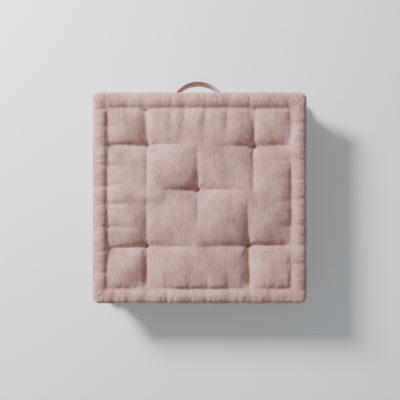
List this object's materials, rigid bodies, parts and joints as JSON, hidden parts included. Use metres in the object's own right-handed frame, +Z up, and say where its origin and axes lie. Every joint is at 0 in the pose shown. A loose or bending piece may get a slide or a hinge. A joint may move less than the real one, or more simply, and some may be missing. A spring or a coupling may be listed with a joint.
{
  "type": "floor cushion",
  "caption": "Square mattress-style floor cushion with rolled edges all round, hand-tied tufts in both faces and a cloth strap handle on one side.",
  "frame": {"origin": "centre of the flat underside the cushion rests on", "axes": "+Z up through the cushion's thickness, +Y towards the side with the handle, +X to the right seen from above with the handle at the far side"},
  "size_m": [0.45, 0.469, 0.1],
  "materials": {
    "cover_cloth": "washed, softly slubbed plain weave with a faint sheen",
    "strap_cloth": "the cover's cloth, folded double",
    "filling": "matted cotton fibre",
    "twine": "twisted cotton twine",
    "thread": "sewing thread"
  },
  "bodies": {
    "cushion": {"top_panel": "cover_cloth", "bottom_panel": "cover_cloth", "side_strip_front": "cover_cloth", "side_strip_rear": "cover_cloth", "side_strip_left": "cover_cloth", "side_strip_right": "cover_cloth", "upper_batting": "filling", "middle_batting": "filling", "lower_batting": "filling", "upper_roll_filling_front": "filling", "upper_roll_filling_rear": "filling", "upper_roll_filling_left": "filling", "upper_roll_filling_right": "filling", "lower_roll_filling_front": "filling", "lower_roll_filling_rear": "filling", "lower_roll_filling_left": "filling", "lower_roll_filling_right": "filling", "tuft_tie_rear_left": "twine", "tuft_tie_rear_right": "twine", "tuft_tie_centre": "twine", "tuft_tie_front_left": "twine", "tuft_tie_front_right": "twine", "upper_roll_twine": "twine", "lower_roll_twine": "twine", "handle_end_left": "strap_cloth", "handle_end_right": "strap_cloth", "handle_stitching_left": "thread", "handle_stitching_right": "thread"},
    "handle": {"handle_strap": "strap_cloth"}
  },
  "joints": [
    {"name": "handle_swing", "type": "hinge", "parent": "cushion", "child": "handle", "pos_m": [-0.003, 0.21, 0.05], "axis": [1, 0, 0], "range_deg": [-30, 30], "stiffness_Nm_per_rad": 0.05}
  ]
}
